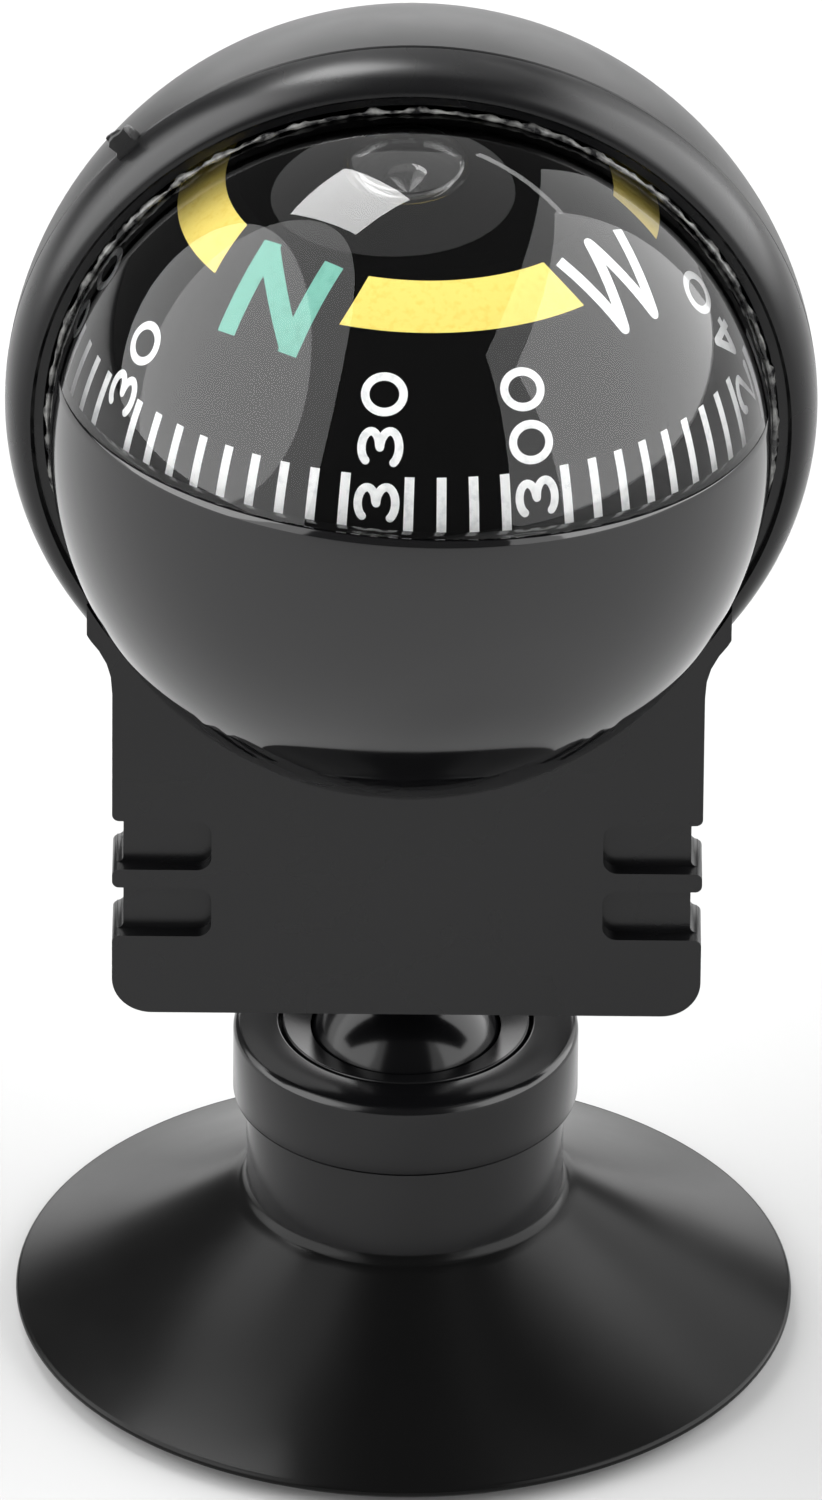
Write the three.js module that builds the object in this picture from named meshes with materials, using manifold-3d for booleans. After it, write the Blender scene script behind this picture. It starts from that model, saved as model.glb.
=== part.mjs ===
// Car dashboard compass: a liquid-filled ball with a floating dial, held in a hooded head
// with a grip plate, on a ball joint and a suction cup. Millimetres, +Z up, front towards -Y.
// The cup's axis, the ball joint and the plane of the rim's crease all lie at y = 0 before
// the last line centres the whole on its footprint.
import * as THREE from 'three';
import { mergeVertices } from 'three/addons/utils/BufferGeometryUtils.js';
import Module from 'manifold-3d';

const wasm = await Module();
wasm.setup();

// Fits and cuts
const slipGap = 0.15; // between round pieces that press or turn together
const cutGap = 0.2; // between pieces parted by the slanting seam
const overrun = 3; // how far a cutting solid runs past what it cuts
const weldGap = 0.0001; // vertices closer than this are one

// Suction cup
const cupRadius = 16.46;
const cupHeight = 6.2;
const cupTopRadius = 6.85;
const cupLipHeight = 1.5;
const cupLipInset = 0.55; // the cone's foot lies this far inside the lip's widest line
const cupSeatWidth = 1.4; // flat ring that lies on the dashboard
const cupSeatInset = 0.4;
const cupHollowDepth = 2.3;

// Socket body: neck, pad seat and the barbed post that snaps into the cup
const neckRadius = 6.7;
const neckHeight = 4.58;
const neckFloor = 0.85;
const neckEdge = 0.25;
const spigotRadius = 6;
const spigotHeight = 0.7;
const postRadius = 2.1;
const postLength = 2.6;
const barbRadius = 2.9;
const barbHeight = 1.1;

// Collar ring
const collarRadius = 7.28;
const collarHeight = 3.39;
const collarMouthRadius = 5.36;
const collarLip = 1.3; // thickness of the top that holds the liner down
const collarEdge = 0.4;

// Ball joint
const studBallRadius = 4.2;
const studBallSink = 2; // ball's centre below the collar's top
const studNeckRadius = 2;
const studShankRadius = 1.6;
const studShankTopShare = 0.85; // how much of the boss the shank fills
const linerFlange = 0.9;
const linerSkirt = 0.5;
const linerDish = 0.35; // the liner's mouth slopes down this much to the ball
const padHeight = 2.4;

// Head: the ball's centre above the joint's centre, and how the shells stand round it
const headRise = 32.09;
const ballRadius = 14.97;
const ballForward = 3.06; // ball's centre in front of the rim's crease
const shellWall = 1;
const seamRise = 2.5; // seam of the two shells above the ball's centre
const seamPitch = 4.5; // degrees, front edge up
const seamRoll = 2.6; // degrees, right edge down
const hoodClearance = 1.02; // hood's inner radius over the ball's
const hoodForward = 0.75;
const hoodWall = 0.9;
const creaseChamfer = 0.08;

// Front frame: rim
const rimDepth = 2.27;
const rimTaper = 1.09; // front edge's radius under the crease's
const rimLipGap = 0.23; // lip round the ball
const rimLipDepth = 2;
const rimFrontEdge = 0.15;
const rimSpigotDepth = 1.2;

// Front frame: plate, horns and grip pockets
const plateForward = 5; // plate's face in front of the crease
const plateThickness = 2.9;
const plateDrop = 26.84; // plate's lower edge below the ball's centre
const plateCorner = 1.65;
const plateEdge = 0.3;
const hornTipAngle = 27.75; // degrees below level, seen from the ball's centre
const hornReach = 1.06; // horns' side edge outside the plate's
const hornUpright = 1.55; // upright stretch of the horns' side edge
const shoulderHeight = 2.3; // sloping stretch below it
const shoulderBendShares = [0.05, 0.55]; // bend of the slope, out and up from its foot
const cutoutGap = 0.16;
const pocketReach = 4.15; // from the plate's side edge inwards
const pocketDrops = [17.5, 20.74]; // upper edges below the ball's centre
const pocketHeight = 2.36;
const pocketCorner = 0.6;
const pocketDepth = 1.05;
const notchDepth = 0.47; // how far each pocket cuts the side edge, right through the plate
const notchCorner = 0.12;
const notchFlare = 0.3; // rounding where a notch meets the side edge

// Front frame: boss for the stud and the chin that ties plate and rim
const bossRadius = 3;
const bossRise = 0.8; // boss's foot above the plate's lower edge
const bossHeadroom = 0.5; // clear of the hood above it
const chinHalfWidth = 9;
const chinHeight = 2;

// Peg that fixes the ball in the hood, with the filling hole through it
const pegRadius = 2.6;
const pegDrop = 3;
const pegEndGap = 0.3;
const fillHoleRadius = 1.1;
const fillPlugLength = 3.2;
const pegSocketWall = 0.8;
const pegSocketDepth = 1.9;

// Dial, magnets and pivot
const dialClearance = 1.47; // liquid between the dial and the ball's inside
const dialWall = 0.7;
const dialSkirt = 2; // dial's lower edge below the pivot
const dialFlatShare = 0.84; // flat top, which leaves room for the liquid's bubble, by the dial's radius
const dialHeading = 323.4; // degrees, the mark that faces the driver
const dialLean = 4.3; // degrees, front edge up
const dialRoll = 1.3; // degrees, right edge down
const dialFloorThickness = 0.8;
const hubRadius = 2.2;
const hubRoof = 0.6;
const jewelRadius = 1.2;
const jewelHeight = 2.4;
const jewelRecess = 0.95;
const jewelMouthRadius = 0.9;
const pinRadius = 0.45;
const pinTipGap = 0.2;
const pinTaper = 1.6;
const pinSeat = 2.4;
const pinLength = 6.2;
const pivotPostRadius = 1.3;
const pivotPostDrop = 4; // post's top below the ball's centre
const pivotFootRadius = 3;
const pivotFootHeight = 0.9;
const magnetWidth = 3;
const magnetHeight = 3.2;
const magnetLengthShare = 1.2; // of the dial's radius
const magnetSpacingShare = 0.832; // of the dial's radius

// Facets
const roundSteps = 36;
const rimSteps = 48;
const smallSteps = 24;
const finePinSteps = 16;
const arcSteps = 8;
const cornerSteps = 4;
const triangleCorners = 3;

const degrees = THREE.MathUtils.degToRad;
const half = size => size / 2;

// Places worked out from the sizes above
const collarSeamZ = cupHeight + neckHeight;
const collarTopZ = collarSeamZ + collarHeight;
const studBallZ = collarTopZ - studBallSink;
const ballZ = studBallZ + headRise;
const plateBottomZ = ballZ - plateDrop;
const plateBackY = plateThickness - plateForward;
const ballInnerRadius = ballRadius - shellWall;
const dialRadius = ballInnerRadius - dialClearance;
const dialFlatRise = dialRadius * dialFlatShare;
const magnetLength = dialRadius * magnetLengthShare;
const magnetSpacing = dialRadius * magnetSpacingShare;
const hoodInnerRadius = ballRadius + hoodClearance;
const hoodRadius = hoodInnerRadius + hoodWall;
const rimRadius = Math.sqrt(hoodRadius ** 2 - hoodForward ** 2);
const rimFrontRadius = rimRadius - rimTaper;
const rimLipRadius = ballRadius + rimLipGap;
const cutoutRadius = ballRadius + cutoutGap;
const hornHalfWidth = cutoutRadius * Math.cos(degrees(hornTipAngle));
const plateHalfWidth = hornHalfWidth - hornReach;
const studSeatRadius = studBallRadius + slipGap;
const bossFootZ = plateBottomZ + bossRise;
const bossTopZ = ballZ - hoodRadius - bossHeadroom;
const pegZ = ballZ - pegDrop;
const centreShiftY = (ballForward + ballRadius - Math.max(cupRadius, hoodRadius - hoodForward)) / 2;

// Points on a circle, from one angle in degrees to another
function arcPoints(centre, radius, from, to, steps) {
  const points = [];
  for (let step = 0; step <= steps; step += 1) {
    const angle = degrees(from + ((to - from) * step) / steps);
    points.push([centre[0] + radius * Math.cos(angle), centre[1] + radius * Math.sin(angle)]);
  }
  return points;
}

// Points on a circle about the profile's axis, from one height to another along its right side
function shellPoints(centreHeight, radius, fromHeight, toHeight, steps) {
  const angleAt = height => {
    const sine = THREE.MathUtils.clamp((height - centreHeight) / radius, -1, 1);
    return THREE.MathUtils.radToDeg(Math.asin(sine));
  };
  return arcPoints([0, centreHeight], radius, angleAt(fromHeight), angleAt(toHeight), steps);
}

// Welded, index-only copy of a geometry without slivers of no area, faces pointing out
function closedGeometry(source) {
  source.deleteAttribute('normal');
  source.deleteAttribute('uv');
  const merged = mergeVertices(source, weldGap);
  const index = merged.index.array;
  const corners = [];
  for (let at = 0; at < index.length; at += triangleCorners) {
    const triangle = [index[at], index[at + 1], index[at + 2]];
    if (new Set(triangle).size === triangleCorners) {
      corners.push(...triangle);
    }
  }
  merged.setIndex(corners);
  if (signedVolume(merged) < 0) {
    merged.setIndex(corners.reverse());
  }
  return merged;
}

function signedVolume(geometry) {
  const place = geometry.attributes.position;
  const index = geometry.index.array;
  const [a, b, c] = [new THREE.Vector3(), new THREE.Vector3(), new THREE.Vector3()];
  let total = 0;
  for (let at = 0; at < index.length; at += triangleCorners) {
    a.fromBufferAttribute(place, index[at]);
    b.fromBufferAttribute(place, index[at + 1]);
    c.fromBufferAttribute(place, index[at + 2]);
    total += a.dot(b.cross(c));
  }
  return total;
}

// Turned piece: [radius, height] points revolved about Z, or about Y when lying
function turned(profile, steps, lying = false) {
  const points = profile.map(([radius, height]) => new THREE.Vector2(Math.max(radius, 0), height));
  const onAxis = points.map(point => (point.x < weldGap ? new THREE.Vector2(0, point.y) : point));
  const geometry = new THREE.LatheGeometry(onAxis, steps);
  if (!lying) {
    geometry.rotateX(degrees(90));
  }
  return closedGeometry(geometry);
}

// Solid bar along Y between two places, drawn as a disc on the XZ plane
function bar(radius, centreZ, fromY, toY, steps) {
  const profile = [[0, fromY], [radius, fromY], [radius, toY], [0, toY]];
  return turned(profile, steps, true).translate(0, 0, centreZ);
}

// Plate-like piece: a shape drawn in X and Z, from its back face forward by its depth
function standing(shape, backY, depth, edge = 0) {
  const options = {
    depth: depth - 2 * edge,
    bevelEnabled: edge > 0,
    bevelSize: edge,
    bevelThickness: edge,
    bevelOffset: -edge,
    bevelSegments: 2,
    curveSegments: cornerSteps,
  };
  const geometry = new THREE.ExtrudeGeometry(shape, options);
  geometry.rotateX(degrees(90));
  return closedGeometry(geometry).translate(0, backY - edge, 0);
}

function block(minimum, maximum) {
  const size = maximum.map((value, axis) => value - minimum[axis]);
  const centre = maximum.map((value, axis) => (value + minimum[axis]) / 2);
  return closedGeometry(new THREE.BoxGeometry(...size)).translate(...centre);
}

function solidOf(geometry) {
  const vertProperties = new Float32Array(geometry.attributes.position.array);
  const triVerts = new Uint32Array(geometry.index.array);
  return new wasm.Manifold(new wasm.Mesh({ numProp: 3, vertProperties, triVerts }));
}

function geometryOf(solid) {
  const mesh = solid.getMesh();
  const geometry = new THREE.BufferGeometry();
  geometry.setAttribute('position', new THREE.BufferAttribute(mesh.vertProperties, mesh.numProp));
  geometry.setIndex(new THREE.BufferAttribute(mesh.triVerts, 1));
  return closedGeometry(geometry);
}

const join = (first, ...others) => others.reduce((whole, other) => whole.add(other), first);
const cut = (first, ...others) => others.reduce((whole, other) => whole.subtract(other), first);

// Suction cup: cone on a rounded lip, hollow below, with a pocket for the barbed post
function suctionCup() {
  const lipCentre = cupLipHeight / 2;
  const lip = arcPoints([cupRadius - lipCentre, lipCentre], lipCentre, -60, 60, cornerSteps);
  const seatOuter = cupRadius - cupSeatInset - lipCentre / 2;
  const seatInner = seatOuter - cupSeatWidth;
  const hollow = [];
  for (let step = 0; step <= cornerSteps * 2; step += 1) {
    const share = step / (cornerSteps * 2);
    hollow.push([seatInner * share, cupHollowDepth * (1 - share ** 3)]);
  }
  const pocket = postPocket();
  return turned([
    ...hollow,
    [seatOuter, 0],
    ...lip,
    [cupRadius - cupLipInset - lipCentre / 2, cupLipHeight],
    [cupTopRadius, cupHeight],
    ...pocket,
  ], roundSteps);
}

// Walls of the cup's pocket, from its mouth down to its floor
function postPocket() {
  const shaft = postRadius + slipGap;
  const barb = barbRadius + slipGap;
  const floorZ = cupHeight - postLength - slipGap;
  return [
    [shaft, cupHeight],
    [shaft, floorZ + barbHeight + 2 * slipGap],
    [barb, floorZ + barbHeight + slipGap],
    [barb, floorZ],
    [0, floorZ],
  ];
}

// Socket body: barbed post below, neck, and a spigot with a seat for the pad inside
function socketBody() {
  const footZ = cupHeight - postLength;
  const seatRadius = padRadius();
  const spigotTopZ = collarSeamZ + spigotHeight;
  return turned([
    [0, footZ],
    [postRadius, footZ],
    [barbRadius, footZ + barbHeight],
    [postRadius, footZ + barbHeight + slipGap / 2],
    [postRadius, cupHeight],
    [neckRadius, cupHeight],
    [neckRadius, collarSeamZ - neckEdge],
    [neckRadius - neckEdge, collarSeamZ],
    [spigotRadius, collarSeamZ],
    [spigotRadius, spigotTopZ],
    [seatRadius + slipGap, spigotTopZ],
    [seatRadius + slipGap, cupHeight + neckFloor],
    [0, cupHeight + neckFloor],
  ], roundSteps);
}

function padRadius() {
  return (studBallRadius + spigotRadius) / 2 - slipGap;
}

// Collar ring: rounded outer edge, lip above the liner's flange
function collarRing() {
  const boreRadius = spigotRadius + slipGap;
  const roundTop = [collarRadius - collarEdge, collarTopZ - collarEdge];
  return turned([
    [boreRadius, collarSeamZ],
    [collarRadius - neckEdge, collarSeamZ],
    [collarRadius, collarSeamZ + neckEdge],
    ...arcPoints(roundTop, collarEdge, 0, 90, cornerSteps),
    [collarMouthRadius, collarTopZ],
    [collarMouthRadius, collarTopZ - collarLip],
    [boreRadius, collarTopZ - collarLip],
    [boreRadius, collarSeamZ],
  ], roundSteps);
}

// Liner: seat that closes over the ball's widest line, with a flange under the collar's lip
function socketLiner() {
  const flangeTopZ = collarTopZ - collarLip - slipGap;
  const flangeFootZ = flangeTopZ - linerFlange;
  const mouthZ = collarTopZ - linerDish;
  const footZ = studBallZ - linerSkirt;
  const outerRadius = collarMouthRadius - slipGap;
  const seat = shellPoints(studBallZ, studSeatRadius, mouthZ, footZ, arcSteps);
  return turned([
    ...seat,
    [padRadius(), footZ],
    [padRadius(), flangeFootZ],
    [spigotRadius, flangeFootZ],
    [spigotRadius, flangeTopZ],
    [outerRadius, flangeTopZ],
    [outerRadius, collarTopZ],
    seat[0],
  ], roundSteps);
}

// Pad below the ball that gives the joint its grip
function frictionPad() {
  const footZ = cupHeight + neckFloor;
  const topZ = footZ + padHeight;
  const dish = shellPoints(studBallZ, studSeatRadius, studBallZ - studSeatRadius, topZ, arcSteps);
  return turned([...dish, [padRadius(), topZ], [padRadius(), footZ], [0, footZ]], smallSteps);
}

// Ball stud: ball, neck, and a thinner shank pressed into the boss behind the plate
function ballStud() {
  const neckFootZ = studBallZ + Math.sqrt(studBallRadius ** 2 - studNeckRadius ** 2);
  const shankTopZ = bossFootZ + (bossTopZ - bossFootZ) * studShankTopShare;
  return turned([
    ...shellPoints(studBallZ, studBallRadius, studBallZ - studBallRadius, neckFootZ, arcSteps),
    [studNeckRadius, bossFootZ - slipGap],
    [studShankRadius, bossFootZ - slipGap],
    [studShankRadius, shankTopZ],
    [0, shankTopZ],
  ], smallSteps);
}

// Outline of the plate in X and Z: square foot, shoulders out to the horns, round cut-out
function plateShape() {
  const tipZ = ballZ - cutoutRadius * Math.sin(degrees(hornTipAngle));
  const shoulderTopZ = tipZ - hornUpright;
  const shoulderFootZ = shoulderTopZ - shoulderHeight;
  const tipAngle = Math.atan2(tipZ - ballZ, hornHalfWidth);
  const bendX = plateHalfWidth + hornReach * shoulderBendShares[0];
  const bendZ = shoulderFootZ + shoulderHeight * shoulderBendShares[1];
  const shape = new THREE.Shape();
  shape.moveTo(plateCorner - plateHalfWidth, plateBottomZ);
  shape.lineTo(plateHalfWidth - plateCorner, plateBottomZ);
  shape.absarc(plateHalfWidth - plateCorner, plateBottomZ + plateCorner, plateCorner, degrees(-90), 0, false);
  shape.lineTo(plateHalfWidth, shoulderFootZ);
  shape.quadraticCurveTo(bendX, bendZ, hornHalfWidth, shoulderTopZ);
  shape.lineTo(hornHalfWidth, tipZ);
  shape.absarc(0, ballZ, cutoutRadius, tipAngle, degrees(-180) - tipAngle, true);
  shape.lineTo(-hornHalfWidth, shoulderTopZ);
  shape.quadraticCurveTo(-bendX, bendZ, -plateHalfWidth, shoulderFootZ);
  shape.lineTo(-plateHalfWidth, plateBottomZ + plateCorner);
  shape.absarc(plateCorner - plateHalfWidth, plateBottomZ + plateCorner, plateCorner,
    degrees(180), degrees(270), false);
  return shape;
}

// Front view of a recess on the right, from its inner end out through the plate's side edge
function recessShape(topZ, reach, corner) {
  const innerX = plateHalfWidth - reach;
  const outerX = plateHalfWidth + overrun;
  const flareX = plateHalfWidth - notchFlare;
  const footZ = topZ - pocketHeight;
  const shape = new THREE.Shape();
  shape.moveTo(outerX, footZ - notchFlare);
  shape.absarc(flareX, footZ - notchFlare, notchFlare, 0, degrees(90), false);
  shape.absarc(innerX + corner, footZ + corner, corner, degrees(270), degrees(180), true);
  shape.absarc(innerX + corner, topZ - corner, corner, degrees(180), degrees(90), true);
  shape.absarc(flareX, topZ + notchFlare, notchFlare, degrees(270), degrees(360), false);
  shape.lineTo(outerX, topZ + notchFlare);
  return shape;
}

// One grip pocket in the plate's face, with the notch that carries it through the side edge
function pocketCut(drop) {
  const topZ = ballZ - drop;
  const pocket = standing(recessShape(topZ, pocketReach, pocketCorner), pocketDepth - plateForward,
    pocketDepth + overrun);
  const notch = standing(recessShape(topZ, notchDepth, notchCorner), plateBackY + overrun,
    plateThickness + 2 * overrun);
  return solidOf(pocket).add(solidOf(notch));
}

const mirrored = solid => solid.mirror([1, 0, 0]);

// Rim round the ball, revolved about Y: elliptic front, step to the lip, spigot into the hood
function rimGeometry() {
  const rise = rimRadius - rimFrontRadius;
  const front = [];
  for (let step = 0; step <= arcSteps / 2; step += 1) {
    const angle = degrees((90 * step) / (arcSteps / 2));
    const along = creaseChamfer + (rimDepth - creaseChamfer) * Math.sin(angle);
    front.push([rimFrontRadius + rise * Math.cos(angle), -along]);
  }
  const spigotOuter = hoodInnerRadius - 2 * slipGap;
  return turned([
    [rimRadius - creaseChamfer, 0],
    ...front,
    [rimFrontRadius - rimFrontEdge, rimFrontEdge - rimDepth],
    [rimFrontRadius - rimFrontEdge, -rimLipDepth],
    [rimLipRadius, -rimLipDepth],
    [rimLipRadius, rimSpigotDepth],
    [spigotOuter - slipGap, rimSpigotDepth],
    [spigotOuter - slipGap, 0],
    [rimRadius - creaseChamfer, 0],
  ], rimSteps, true).translate(0, 0, ballZ);
}

// Boss behind the plate for the stud's shank, with the web that carries it
function bossSolids() {
  const boss = [[0, bossFootZ], [bossRadius, bossFootZ], [bossRadius, bossTopZ], [0, bossTopZ]];
  const web = block(
    [-bossRadius, plateBackY - half(plateThickness), bossFootZ],
    [bossRadius, 0, bossTopZ],
  );
  const chin = block(
    [-chinHalfWidth, plateBackY - half(plateThickness), ballZ - rimRadius - half(chinHeight)],
    [chinHalfWidth, -creaseChamfer * 2, ballZ - rimRadius + half(chinHeight)],
  );
  return join(solidOf(turned(boss, smallSteps)), solidOf(web), solidOf(chin));
}

// Front frame: rim, plate and boss as one moulding
function frontFrame() {
  const boreTopZ = bossFootZ + (bossTopZ - bossFootZ) * studShankTopShare + slipGap;
  const boreRadius = studShankRadius + slipGap;
  const bore = turned([[0, bossFootZ - overrun], [boreRadius, bossFootZ - overrun], [boreRadius, boreTopZ],
    [0, boreTopZ]], smallSteps);
  const opening = bar(rimLipRadius, ballZ, -rimLipDepth - slipGap, overrun, rimSteps);
  const sight = bar(cutoutRadius, ballZ, -plateForward - overrun, -rimLipDepth, rimSteps);
  const plate = solidOf(standing(plateShape(), plateBackY, plateThickness, plateEdge));
  const pockets = pocketDrops.map(pocketCut);
  const body = join(cut(join(plate, bossSolids()), solidOf(opening), solidOf(sight)), solidOf(rimGeometry()));
  return geometryOf(cut(body, solidOf(bore), ...pockets, ...pockets.map(mirrored)));
}

// Solid ball on the hood's centre, to trim what grows from its inside
function hoodSolid(radius) {
  const profile = shellPoints(0, radius, -radius, radius, arcSteps * 2);
  return turned(profile, roundSteps).translate(0, -hoodForward, ballZ);
}

// Hood: dome behind the rim, with the round socket that holds the ball's peg
function hoodShell() {
  const outer = shellPoints(-hoodForward, hoodRadius, creaseChamfer, hoodRadius - hoodForward, arcSteps);
  const inner = shellPoints(-hoodForward, hoodInnerRadius, hoodInnerRadius - hoodForward, 0, arcSteps);
  const dome = turned([[rimRadius - creaseChamfer, 0], ...outer, ...inner, [rimRadius - creaseChamfer, 0]],
    rimSteps, true).translate(0, 0, ballZ);
  const wallY = Math.sqrt(hoodInnerRadius ** 2 - pegDrop ** 2) - hoodForward;
  const boreRadius = pegRadius + slipGap;
  const socket = bar(boreRadius + pegSocketWall, pegZ, wallY - pegSocketDepth, hoodRadius, smallSteps);
  const within = solidOf(hoodSolid(hoodRadius - half(hoodWall)));
  const socketBore = bar(boreRadius, pegZ, wallY - pegSocketDepth - overrun, wallY - slipGap, smallSteps);
  return geometryOf(cut(join(solidOf(dome), solidOf(socket).intersect(within)), solidOf(socketBore)));
}

function ballSolid(radius) {
  const profile = shellPoints(0, radius, -radius, radius, arcSteps * 2);
  return solidOf(turned(profile, roundSteps).translate(0, -ballForward, ballZ));
}

// Everything above the slanting seam, raised by a gap
function aboveSeam(gap) {
  const size = 2 * (ballRadius + overrun);
  const cutter = closedGeometry(new THREE.BoxGeometry(size * 2, size * 2, size));
  cutter.translate(0, 0, half(size) + gap);
  cutter.rotateX(degrees(-seamPitch));
  cutter.rotateY(degrees(seamRoll));
  return solidOf(cutter.translate(0, -ballForward, ballZ + seamRise));
}

function ballUpperShell() {
  const shell = cut(ballSolid(ballRadius), ballSolid(ballInnerRadius));
  return geometryOf(shell.intersect(aboveSeam(cutGap)));
}

// Lower shell with its peg at the back and the filling hole through the peg
function ballLowerShell() {
  const endY = Math.sqrt(hoodInnerRadius ** 2 - pegDrop ** 2) - hoodForward - pegEndGap;
  const rootY = Math.sqrt(ballInnerRadius ** 2 - pegDrop ** 2) - ballForward;
  const peg = solidOf(bar(pegRadius, pegZ, rootY + half(shellWall), endY - slipGap, smallSteps));
  const hole = solidOf(bar(fillHoleRadius, pegZ, rootY - overrun, endY + overrun, smallSteps));
  const shell = cut(join(ballSolid(ballRadius), peg), ballSolid(ballInnerRadius), hole);
  return geometryOf(cut(shell, aboveSeam(0)));
}

function fillPlug() {
  const endY = Math.sqrt(hoodInnerRadius ** 2 - pegDrop ** 2) - hoodForward - pegEndGap - slipGap;
  return bar(fillHoleRadius - slipGap, pegZ, endY - fillPlugLength, endY, finePinSteps);
}

// Post with a round foot on the shell's floor and a bore for the pin; heights from the pivot
function pivotPost() {
  const seatRadius = ballInnerRadius - slipGap;
  const footRimZ = -Math.sqrt(seatRadius ** 2 - pivotFootRadius ** 2);
  const boreFloor = -pivotPostDrop - pinSeat - slipGap;
  return turned([
    ...shellPoints(0, seatRadius, -seatRadius, footRimZ, cornerSteps),
    [pivotFootRadius, footRimZ + pivotFootHeight],
    [pivotPostRadius, footRimZ + pivotFootHeight * 2],
    [pivotPostRadius, -pivotPostDrop],
    [pinRadius + slipGap, -pivotPostDrop],
    [pinRadius + slipGap, boreFloor],
    [0, boreFloor],
  ], finePinSteps);
}

function pivotPin() {
  const tip = -pinTipGap;
  return turned([
    [0, tip - pinLength],
    [pinRadius, tip - pinLength],
    [pinRadius, tip - pinTaper],
    [0, tip],
  ], finePinSteps);
}

// Jewel: cylinder with a conical recess that rides on the pin's point
function jewelCup() {
  return turned([
    [0, 0],
    [jewelMouthRadius, -jewelRecess],
    [jewelRadius, -jewelRecess],
    [jewelRadius, jewelHeight - jewelRecess],
    [0, jewelHeight - jewelRecess],
  ], finePinSteps);
}

function dialDome() {
  const innerRadius = dialRadius - dialWall;
  return turned([
    ...shellPoints(0, dialRadius, -dialSkirt, dialFlatRise, arcSteps),
    [0, dialFlatRise],
    [0, dialFlatRise - dialWall],
    ...shellPoints(0, innerRadius, dialFlatRise - dialWall, -dialSkirt, arcSteps),
    [Math.sqrt(dialRadius ** 2 - dialSkirt ** 2), -dialSkirt],
  ], roundSteps);
}

// Floor of the dial with the hub that holds the jewel
function dialFloor() {
  const edgeRadius = Math.sqrt((dialRadius - dialWall) ** 2 - dialSkirt ** 2) - slipGap;
  const boreRadius = jewelRadius + slipGap;
  const roofZ = jewelHeight - jewelRecess + slipGap;
  return turned([
    [0, roofZ],
    [boreRadius, roofZ],
    [boreRadius, -dialSkirt],
    [edgeRadius, -dialSkirt],
    [edgeRadius, dialFloorThickness - dialSkirt],
    [hubRadius, dialFloorThickness - dialSkirt],
    [hubRadius, roofZ + hubRoof],
    [0, roofZ + hubRoof],
  ], smallSteps);
}

function magnet(side) {
  const centreX = (side * magnetSpacing) / 2;
  const topZ = -dialSkirt - slipGap;
  return block(
    [centreX - half(magnetWidth), -half(magnetLength), topZ - magnetHeight],
    [centreX + half(magnetWidth), half(magnetLength), topZ],
  );
}

const looks = {
  glossBlack: { color: 0x0c0c0d, roughness: 0.12, metalness: 0 },
  softBlack: { color: 0x111112, roughness: 0.3, metalness: 0 },
  satinBlack: { color: 0x222325, roughness: 0.5, metalness: 0 },
  innerGrey: { color: 0x3c3d3f, roughness: 0.6, metalness: 0 },
  clear: { color: 0xf4f6f6, roughness: 0.02, metalness: 0, transparent: true, opacity: 0.3 },
  dialBlack: { color: 0x0a0a0b, roughness: 0.5, metalness: 0 },
  steel: { color: 0xb9bcc0, roughness: 0.25, metalness: 1 },
  brass: { color: 0xc9a45a, roughness: 0.3, metalness: 1 },
  ferrite: { color: 0x4a4a4c, roughness: 0.6, metalness: 0.6 },
};

function piece(name, geometry, look) {
  const mesh = new THREE.Mesh(geometry, new THREE.MeshStandardMaterial(look));
  mesh.name = name;
  return mesh;
}

function standGroup() {
  const group = new THREE.Group();
  group.add(piece('suction_cup', suctionCup(), looks.softBlack));
  group.add(piece('socket_body', socketBody(), looks.glossBlack));
  group.add(piece('collar_ring', collarRing(), looks.glossBlack));
  group.add(piece('friction_pad', frictionPad(), looks.innerGrey));
  group.add(piece('socket_liner', socketLiner(), looks.innerGrey));
  group.add(piece('ball_stud', ballStud(), looks.glossBlack));
  return group;
}

function headGroup() {
  const group = new THREE.Group();
  group.add(piece('front_frame', frontFrame(), looks.satinBlack));
  group.add(piece('hood_shell', hoodShell(), looks.glossBlack));
  group.add(piece('ball_upper_shell', ballUpperShell(), looks.clear));
  group.add(piece('ball_lower_shell', ballLowerShell(), looks.glossBlack));
  group.add(piece('fill_plug', fillPlug(), looks.innerGrey));
  return group;
}

// Post and pin stand upright; what floats on the pin leans and is turned to its heading
function dialGroup() {
  const floating = new THREE.Group();
  floating.add(piece('jewel_cup', jewelCup(), looks.brass));
  floating.add(piece('dial_dome', dialDome(), looks.dialBlack));
  floating.add(piece('dial_floor', dialFloor(), looks.dialBlack));
  floating.add(piece('magnet_left', magnet(-1), looks.ferrite));
  floating.add(piece('magnet_right', magnet(1), looks.ferrite));
  floating.rotation.set(degrees(-dialLean), degrees(dialRoll), degrees(dialHeading));
  const group = new THREE.Group();
  group.add(piece('pivot_post', pivotPost(), looks.innerGrey));
  group.add(piece('pivot_pin', pivotPin(), looks.steel));
  group.add(floating);
  group.position.set(0, -ballForward, ballZ);
  return group;
}

const compass = new THREE.Group();
compass.add(standGroup(), headGroup(), dialGroup());
compass.position.y = centreShiftY;

export default compass;
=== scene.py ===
import math

import bmesh
import bpy
from mathutils import Matrix, Vector, noise


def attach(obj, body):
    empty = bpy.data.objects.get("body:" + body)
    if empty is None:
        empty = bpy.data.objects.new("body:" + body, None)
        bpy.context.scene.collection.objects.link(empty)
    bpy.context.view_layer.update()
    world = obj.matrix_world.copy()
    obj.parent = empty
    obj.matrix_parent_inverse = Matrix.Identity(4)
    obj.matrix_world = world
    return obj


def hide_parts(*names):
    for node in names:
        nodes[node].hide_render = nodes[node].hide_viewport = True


# Car dashboard compass. Shapes are drawn in millimetres in the row frame and turned
# to metres when a piece is finished: front is -Y, up is +Z, the cup stands on z = 0.

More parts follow.
